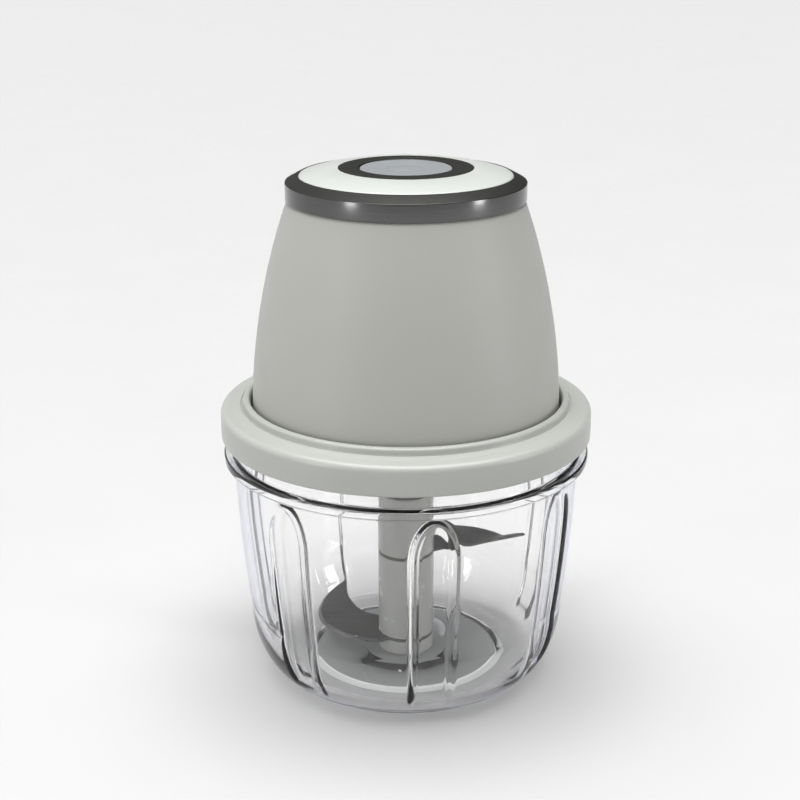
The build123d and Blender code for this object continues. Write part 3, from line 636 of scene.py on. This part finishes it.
def make_blade(name, node, height, turn, bend, look):
    """A sickle blade on a ring, with a ground outer edge, its outer part bent up across one line."""
    bm = bmesh.new()
    thick = BLADE_THICKNESS
    outer = through(BLADE_OUTER, BLADE_ROWS)
    inner = through(BLADE_INNER, BLADE_ROWS)
    grid = []
    for edge, back in zip(outer[:-1], inner[:-1]):
        width = (back - edge).length
        ground = min(GROUND_WIDTH, width * 0.45)
        inward = (back - edge) / max(width, 1e-6)
        row = [
            (edge, thick * 0.42),
            (edge + inward * ground, thick),
            (edge + inward * (ground + width) / 2, thick),
            (back - inward * min(0.35, width * 0.2), thick),
            (back, thick - 0.3),
            (back, 0.2),
            (back - inward * min(0.2, width * 0.2), 0.0),
            (edge + inward * (ground * 0.6 + width) / 2, 0.0),
            (edge + inward * ground * 0.6, 0.0),
            (edge, thick * 0.3),
        ]
        grid.append([bm.verts.new((p.x, p.y, z)) for p, z in row])
    tip = bm.verts.new((*BLADE_TIP, thick * 0.35))
    for low, high in zip(grid, grid[1:]):
        for i in range(len(low)):
            j = (i + 1) % len(low)
            face = bm.faces.new((low[i], low[j], high[j], high[i]))
            face.material_index = 1 if i in (0, 8, 9) else 0
    last = grid[-1]
    for i in range(len(last)):
        bm.faces.new((last[i], last[(i + 1) % len(last)], tip))
    bm.faces.new(list(reversed(grid[0])))
    for vertex in bm.verts:
        vertex.co = bent(vertex.co, bend)
    rim = HUB_RADIUS - 0.02
    angles = [2 * math.pi * i / BLADE_RING_SEGMENTS for i in range(BLADE_RING_SEGMENTS)]
    loops = []
    for radius, z in ((BLADE_BORE, 0.0), (rim, 0.0), (rim, thick), (BLADE_BORE, thick)):
        loops.append([bm.verts.new((radius * math.sin(a), -radius * math.cos(a), z)) for a in angles])
    ring_mesh(bm, loops, closed=True)
    bmesh.ops.recalc_face_normals(bm, faces=bm.faces[:])
    turned = Matrix.Translation((0, 0, height)) @ Matrix.Rotation(math.radians(turn), 4, "Z")
    bm.transform(Matrix.Scale(MM, 4) @ turned)
    piece = new_piece(name, bm, [look["blade_steel"], look["edge_steel"]], 28)
    return stand_for(piece, node, "blade_rotor")


HUB_CORE_BORE = 4.5
HUB_PIN_BORE = 3.6
SPIGOT_RADIUS = 5.2
SOCKET_RADIUS = 3.6
SOCKET_DEPTH = 7.0
HUB_ROOF = 2.0                  # of plastic between the socket and the bore below it


def make_hub(look):
    plastic = [look["hub_plastic"]]
    for name, node, inner, soften in (
        ("lower_hub", "hub_foot", HUB_PIN_BORE, 0.5),
        ("middle_hub", "hub_spacer", HUB_CORE_BORE, 0.25),
    ):
        low, high = node_low(node), node_high(node)
        profile = rounded(
            [(inner, low, 0), (HUB_RADIUS, low, soften), (HUB_RADIUS, high, 0.25), (inner, high, 0)], 0.08
        )
        stand_for(lathe(name, profile, plastic, 128), node, "blade_rotor")
    low, top = node_low("hub_top"), node_high("hub_top")
    shoulder = SHROUD_BOTTOM - 0.5
    socket_floor = top - SOCKET_DEPTH
    roof = socket_floor - HUB_ROOF
    corners = [
        (0, roof, 0),
        (HUB_CORE_BORE, roof - 3.9, 0),
        (HUB_CORE_BORE, low, 0),
        (HUB_RADIUS, low, 0.25),
        (HUB_RADIUS, shoulder, 0.5),
        (SPIGOT_RADIUS, shoulder, 0.3),
        (SPIGOT_RADIUS, top, 0.5),
        (SOCKET_RADIUS, top, 0.3),
        (SOCKET_RADIUS, socket_floor, 0),
        (0, socket_floor, 0),
    ]
    profile = rounded(corners, 0.08)
    stand_for(lathe("upper_hub", profile, plastic, 128), "hub_top", "blade_rotor")


# ---- lid ----
SKIRT_BORE = 44.85
PLUG_RADIUS = 41.9
LID_EDGE_TOP = 72.9
LID_INNER_TOP = 73.9
SEAL_TOP = 71.2
PLATE_BOTTOM = 66.6
SHROUD_RADIUS = 7.5
SHROUD_BORE = 5.8
SHROUD_FLARE = 12.0


def make_lid(look):
    groove = SEAT_RADIUS + 2.2
    corners = [
        (SKIRT_BORE, LID_BOTTOM, 0.3),
        (LID_RADIUS, LID_BOTTOM, 0.6),
        (LID_RADIUS, LID_EDGE_TOP, 1.7),
        (LID_RADIUS - 3.3, LID_EDGE_TOP + 0.35, 6.0),
        (groove + 0.35, LID_INNER_TOP, 0.3),
        (groove, LID_INNER_TOP - 0.75, 0.15),
        (groove - 0.3, LID_INNER_TOP, 0.3),
        (SEAT_RADIUS + 1.75, BEAD_TOP - 0.2, 0.8),
        (SEAT_RADIUS + 0.35, BEAD_TOP + 0.1, 0.6),
        (SEAT_RADIUS, BEAD_TOP - 1.0, 0.5),
        (SEAT_RADIUS, PLATE_BOTTOM, 0.2),
        (PLUG_RADIUS, PLATE_BOTTOM, 0.6),
        (PLUG_RADIUS, SEAL_TOP, 0.2),
        (SKIRT_BORE, SEAL_TOP, 0.2),
    ]
    piece = lathe("lid_ring", rounded(corners, 0.15), [look["white_plastic"]], 256)
    stand_for(piece, "lid_collar", "lid")
    plate = [
        (SHROUD_BORE, SHROUD_BOTTOM, 0.3),
        (SHROUD_RADIUS, SHROUD_BOTTOM, 0.4),
        (SHROUD_RADIUS, PLATE_BOTTOM - 7, 6.0),
        (SHROUD_FLARE, PLATE_BOTTOM, 2.5),
        (SEAT_RADIUS - 0.02, PLATE_BOTTOM, 0),
        (SEAT_RADIUS - 0.02, PLATE_TOP, 0),
        (SHROUD_BORE + 1.4, PLATE_TOP, 0.6),
        (SHROUD_BORE, PLATE_TOP - 1.2, 0.6),
    ]
    piece = lathe("lid_plate_and_shroud", rounded(plate, 0.15), [look["grey_plastic"]], 160)
    stand_for(piece, "lid_plate", "lid")


# ---- motor head ----
BELL_FOOT = (39.3, 73.4)
BELL_MIDDLE = (36.5, 99.5)
BELL_TOP = (29.4, 125.7)
HOUSING_WALL = 2.0
PORT_HEIGHT = 84.0
POCKET_WIDTH = 15.6
POCKET_HEIGHT = 9.2
POCKET_DEPTH = 1.3
HOLE_WIDTH = 10.4
HOLE_HEIGHT = 4.4
PORT_REACH = 38.4               # radius of the housing at the port


def bell_rows(inset):
    """(radius, height) points up the bell, with close rows at the edges of the port."""
    heights = [HEAD_BOTTOM + 0.6, 71.0, *np.linspace(BELL_FOOT[1], BELL_TOP[1] - 0.2, 44)]
    for size in (POCKET_HEIGHT, HOLE_HEIGHT):
        for side in (-1, 1):
            edge = PORT_HEIGHT + side * size / 2
            heights = [h for h in heights if abs(h - edge) > 0.5]
            heights += [edge - 0.04, edge + 0.04]
    curve = arc_points(BELL_FOOT, BELL_MIDDLE, BELL_TOP, 200)
    rows = []
    for height in sorted(heights):
        radius = BELL_FOOT[0]
        if height > BELL_FOOT[1]:
            radius = float(np.interp(height, [p[1] for p in curve], [p[0] for p in curve]))
        rows.append((radius - inset, height))
    return rows


def port_angles():
    """Angles round the bell in degrees, 0 at the back, with close lines at the edges of the port."""
    angles = list(np.arange(0, 360, 1.5) - 180.0)
    for size in (POCKET_WIDTH, HOLE_WIDTH):
        for side in (-1, 1):
            edge = math.degrees(math.asin(side * size / 2 / PORT_REACH))
            angles = [a for a in angles if abs(a - edge) > 0.7]
            angles += [edge - 0.06, edge + 0.06]
    return sorted(angles)


def make_housing(look):
    bm = bmesh.new()
    outer = bell_rows(0)
    inner = bell_rows(HOUSING_WALL)
    path = [(HEAD_RADIUS - HOUSING_WALL, HEAD_BOTTOM), (HEAD_RADIUS - 0.4, HEAD_BOTTOM)] + outer
    path += [(BELL_TOP[0] - 0.15, BELL_TOP[1]), (BELL_TOP[0] - HOUSING_WALL, BELL_TOP[1])] + inner[::-1]
    angles = port_angles()
    loops = []
    for number, (radius, height) in enumerate(path):
        is_outer = 2 <= number < 2 + len(outer)
        loop = []
        for angle in angles:
            across = PORT_REACH * math.sin(math.radians(angle))
            in_pocket = (
                is_outer
                and abs(angle) < 90
                and abs(across) < POCKET_WIDTH / 2
                and abs(height - PORT_HEIGHT) < POCKET_HEIGHT / 2
            )
            reach = (radius - (POCKET_DEPTH if in_pocket else 0)) * MM
            turn = math.radians(angle)
            loop.append(bm.verts.new((reach * math.sin(turn), reach * math.cos(turn), height * MM)))
        loops.append(loop)
    ring_mesh(bm, loops, closed=True)
    hole = []
    for face in bm.faces:
        centre = face.calc_center_median() / MM
        is_beside = abs(centre.x) > HOLE_WIDTH / 2 or abs(centre.z - PORT_HEIGHT) > HOLE_HEIGHT / 2
        if centre.y > 0 and not is_beside:
            hole.append(face)
    bmesh.ops.delete(bm, geom=hole, context="FACES")
    rims = [edge for edge in bm.edges if edge.is_boundary]
    bmesh.ops.bridge_loops(bm, edges=rims)
    bmesh.ops.recalc_face_normals(bm, faces=bm.faces[:])
    piece = new_piece("bell_housing", bm, [look["frosted_housing"]], 40)
    return stand_for(piece, "motor_housing", "motor_head")


TRIM_SPIGOT_RADIUS = TRIM_RADIUS - 2.6
TRIM_SIDE_TOP = TRIM_TOP - 1.7
CAP_SKIRT_BOTTOM = 126.0
CUP_RADIUS = 14.6
CUP_BORE = 13.0
CUP_LEDGE = 131.0
CUP_FLOOR = 1.4
STEM_RADIUS = 2.4
BUTTON_RADIUS = 11.4
BUTTON_LIP_RADIUS = 12.7
BUTTON_BORE = 9.8


def make_trim(look):
    corners = [
        (CAP_RADIUS, TRIM_BOTTOM, 0),
        (TRIM_SPIGOT_RADIUS, TRIM_BOTTOM, 0.2),
        (TRIM_SPIGOT_RADIUS, HEAD_TOP, 0),
        (TRIM_RADIUS, HEAD_TOP, 0.25),
        (TRIM_RADIUS, TRIM_SIDE_TOP, 0.22),
        (CAP_RADIUS + 0.25, TRIM_TOP, 0.1),
        (CAP_RADIUS + 0.02, TRIM_TOP - 0.25, 0),
    ]
    piece = lathe(
        "trim_band",
        rounded(corners, 0.06),
        [look["dark_trim"], look["charcoal_satin"]],
        256,
        zone=lambda radius, height: 1 if height > TRIM_SIDE_TOP + 0.02 else 0,
        sharp=50,
    )
    stand_for(piece, "trim_ring", "motor_head")


def make_top_disc(look):
    """The white disc, with a domed top, a skirt inside the trim ring and a seat for the bezel."""
    skirt = CAP_RADIUS - 0.02
    seat = BEZEL_RADIUS + 0.02
    under = CUP_LEDGE - 1.6
    middle = (22.0, CAP_CROWN - 0.6)
    dome = arc_points((BEZEL_RADIUS + 0.05, CAP_CROWN), middle, (CAP_RADIUS - 0.25, TRIM_TOP - 0.02), 16)
    profile = [(skirt, CAP_SKIRT_BOTTOM), (skirt, TRIM_TOP - 0.3)] + dome[::-1]
    profile += [(seat, CAP_CROWN - 0.2), (seat, CUP_LEDGE), (CUP_RADIUS + 0.1, CUP_LEDGE)]
    profile += [(CUP_RADIUS + 0.1, under), (CAP_RADIUS - 2, under), (CAP_RADIUS - 2, CAP_SKIRT_BOTTOM)]
    piece = lathe("top_disc", profile, [look["cap_plastic"]], 224)
    stand_for(piece, "top_cap", "motor_head")


def make_bezel(look):
    lip_room = BEZEL_TOP - 1.6
    bore = BUTTON_RADIUS + 0.25
    stem_hole = STEM_RADIUS + 0.4
    corners = [
        (stem_hole, BEZEL_BOTTOM, 0.2),
        (CUP_RADIUS, BEZEL_BOTTOM, 0.3),
        (CUP_RADIUS, CUP_LEDGE, 0),
        (BEZEL_RADIUS, CUP_LEDGE, 0),
        (BEZEL_RADIUS, BEZEL_TOP, 0.35),
        (bore, BEZEL_TOP, 0.3),
        (bore, lip_room, 0.1),
        (CUP_BORE, lip_room, 0),
        (CUP_BORE, BEZEL_BOTTOM + CUP_FLOOR, 0.2),
        (stem_hole, BEZEL_BOTTOM + CUP_FLOOR, 0.1),
    ]
    piece = lathe("bezel_ring", rounded(corners, 0.08), [look["charcoal_satin"]], 192)
    stand_for(piece, "button_bezel", "motor_head")


def make_button(look):
    """The large button, with a shallow round mark in the middle of its slightly dished top."""
    crown = BUTTON_CROWN
    roof = crown - 1.8
    profile = [
        (0, STEM_BOTTOM),
        (STEM_RADIUS, STEM_BOTTOM),
        (STEM_RADIUS, roof),
        (BUTTON_BORE, roof),
        (BUTTON_BORE, crown - 4.8),
        (BUTTON_RADIUS, crown - 4.8),
        (BUTTON_RADIUS, crown - 3.0),
        (BUTTON_LIP_RADIUS, crown - 3.0),
        (BUTTON_LIP_RADIUS, roof),
        (BUTTON_RADIUS, roof),
        (BUTTON_RADIUS, crown - 0.35),
        (BUTTON_RADIUS - 0.1, crown - 0.15),
        (BUTTON_RADIUS - 0.35, crown - 0.02),
        (BUTTON_RADIUS - 0.8, crown),
        (5.2, crown - 0.12),
        (4.6, crown - 0.16),
        (4.3, crown - 0.26),
        (4.0, crown - 0.17),
        (2.0, crown - 0.15),
        (0, crown - 0.15),
    ]
    piece = lathe("large_button", profile, [look["button_plastic"]], 192, sharp=40)
    stand_for(piece, "power_button", "power_button")


SPRING_WIRE = 0.35
SPRING_TURNS = 4
SPRING_STEPS = 40               # sections in each turn
WIRE_POINTS = 10


def make_spring(look):
    """The coil under the button; on the real thing it shortens as the button goes down."""
    low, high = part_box("button_spring")
    reach = high.x / MM - SPRING_WIRE
    foot = low.z / MM + SPRING_WIRE
    rise = high.z / MM - SPRING_WIRE - foot
    steps = SPRING_TURNS * SPRING_STEPS
    bm = bmesh.new()
    loops = []
    for k in range(steps + 1):
        turn = 2 * math.pi * SPRING_TURNS * k / steps
        outwards = Vector((math.cos(turn), math.sin(turn), 0))
        centre = outwards * reach + Vector((0, 0, foot + rise * k / steps))
        loop = []
        for i in range(WIRE_POINTS):
            angle = 2 * math.pi * i / WIRE_POINTS
            arm = outwards * math.cos(angle) + Vector((0, 0, math.sin(angle)))
            loop.append(bm.verts.new((centre + SPRING_WIRE * arm) * MM))
        loops.append(loop)
    ring_mesh(bm, loops, closed=False)
    bm.faces.new(loops[0])
    bm.faces.new(loops[-1])
    bmesh.ops.recalc_face_normals(bm, faces=bm.faces[:])
    piece = new_piece("coil_spring", bm, [look["polished_steel"]])
    stand_for(piece, "button_spring", "motor_head")
    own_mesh(piece)


def dress_cad_nodes(look):
    """Gives every CAD node that still shows the node material of its slot."""
    slots = {part["node"]: part["material_slot"] for part in frame["record"]["subparts"]}
    for name, node in frame["nodes"].items():
        material = look[slots[name]]
        if not node.material_slots:
            node.data.materials.append(material)
        for place in node.material_slots:
            place.material = material


def make_floor(look):
    bm = bmesh.new()
    bmesh.ops.create_grid(bm, x_segments=8, y_segments=8, size=3.0)
    floor = new_piece("floor", bm, [look["floor"]])
    floor.location.z = -0.0002


make_camera()
make_world()
for lamp_name, (lamp_place, lamp_power) in SOFTBOXES.items():
    softbox(lamp_name, lamp_place, lamp_power)
bpy.context.scene.view_settings.view_transform = "Standard"

materials = make_materials()
make_floor(materials)
dress_cad_nodes(materials)
make_bowl(materials)
make_foot_pad(materials)
make_blade("lower_sickle", "lower_blade", node_low("lower_blade"), 0.0, LOWER_BEND, materials)
make_blade("upper_sickle", "upper_blade", node_low("upper_blade"), BLADE_TURN, UPPER_BEND, materials)
make_hub(materials)
make_lid(materials)
make_housing(materials)
make_trim(materials)
make_top_disc(materials)
make_bezel(materials)
make_button(materials)
make_spring(materials)
